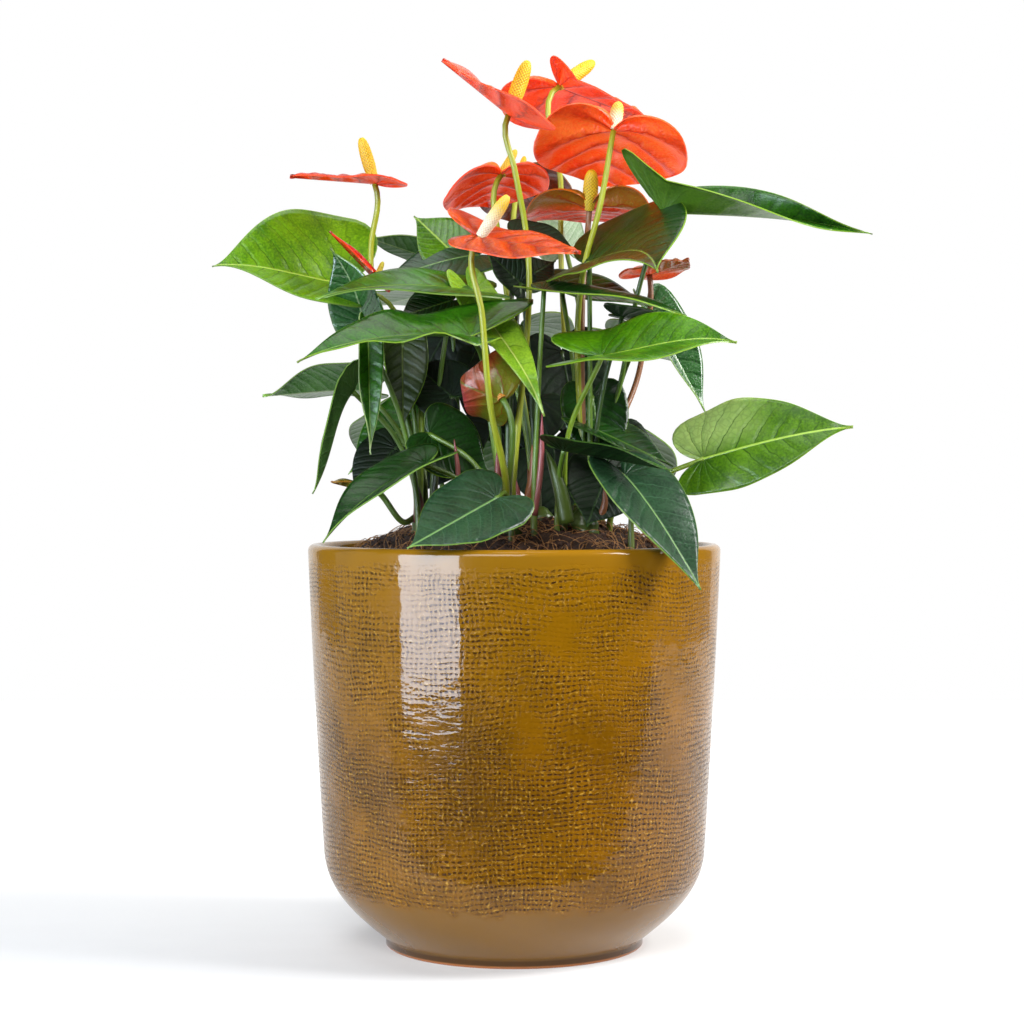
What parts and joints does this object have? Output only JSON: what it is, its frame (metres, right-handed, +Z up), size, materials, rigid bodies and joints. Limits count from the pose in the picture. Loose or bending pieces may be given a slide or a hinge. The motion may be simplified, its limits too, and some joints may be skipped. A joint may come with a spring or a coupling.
{
  "type": "potted anthurium",
  "caption": "Potted anthurium with heart-shaped leaves, waxy red-orange spathes and yellow spadices, in a glazed ochre pot with a woven surface.",
  "frame": {"origin": "centre of the pot's flat underside", "axes": "+Z up; the plant is seen from the front along +Y, with +X to the right"},
  "size_m": [0.3391, 0.2484, 0.4849],
  "materials": {
    "glazed_pot": "gloss",
    "coir_soil": "matte",
    "leaf": "satin",
    "spathe": "gloss",
    "spadix": "satin"
  },
  "bodies": {
    "root": {"pot": "glazed_pot", "leaf_left_drop": "leaf", "plant_left": "leaf", "leaf_left_rim": "leaf", "leaf_front_low": "leaf", "leaf_right_long_edge": "leaf", "plant_front": "leaf", "plant_centre": "leaf", "leaf_right_big": "leaf", "leaf_right_low": "leaf", "leaf_right_edge_lit": "leaf", "leaf_front_right_rim": "leaf", "plant_right": "leaf", "leaf_back_high_left": "leaf", "leaf_back_low_left": "leaf", "leaf_back_low_centre": "leaf", "plant_back_left": "leaf", "leaf_right_back_hang": "leaf", "leaf_back_top": "leaf", "leaf_back_high_right": "leaf", "leaf_back_centre": "leaf", "leaf_back_low_right": "leaf", "plant_back_right": "leaf", "soil": "coir_soil", "spathe_tall_left": "spathe", "spadix_tall_left": "spadix", "spathe_tall_back": "spathe", "spadix_tall_back": "spadix", "spathe_tall_right": "spathe", "spadix_tall_right": "spadix", "spathe_mid_left": "spathe", "spadix_mid_left": "spadix", "spathe_mid_back": "spathe", "spadix_mid_back": "spadix", "spathe_low_front": "spathe", "spadix_low_front": "spadix", "spathe_mid_right": "spathe", "spadix_mid_right": "spadix", "spathe_right_brown": "spathe", "spadix_right_brown": "spadix", "spathe_far_left": "spathe", "spadix_far_left": "spadix", "spathe_bud_left": "spathe", "spadix_bud_left": "spadix", "spathe_centre_old": "spathe", "spadix_centre_old": "spadix", "spathe_bud_low": "spathe", "spadix_bud_low": "spadix"}
  },
  "joints": []
}
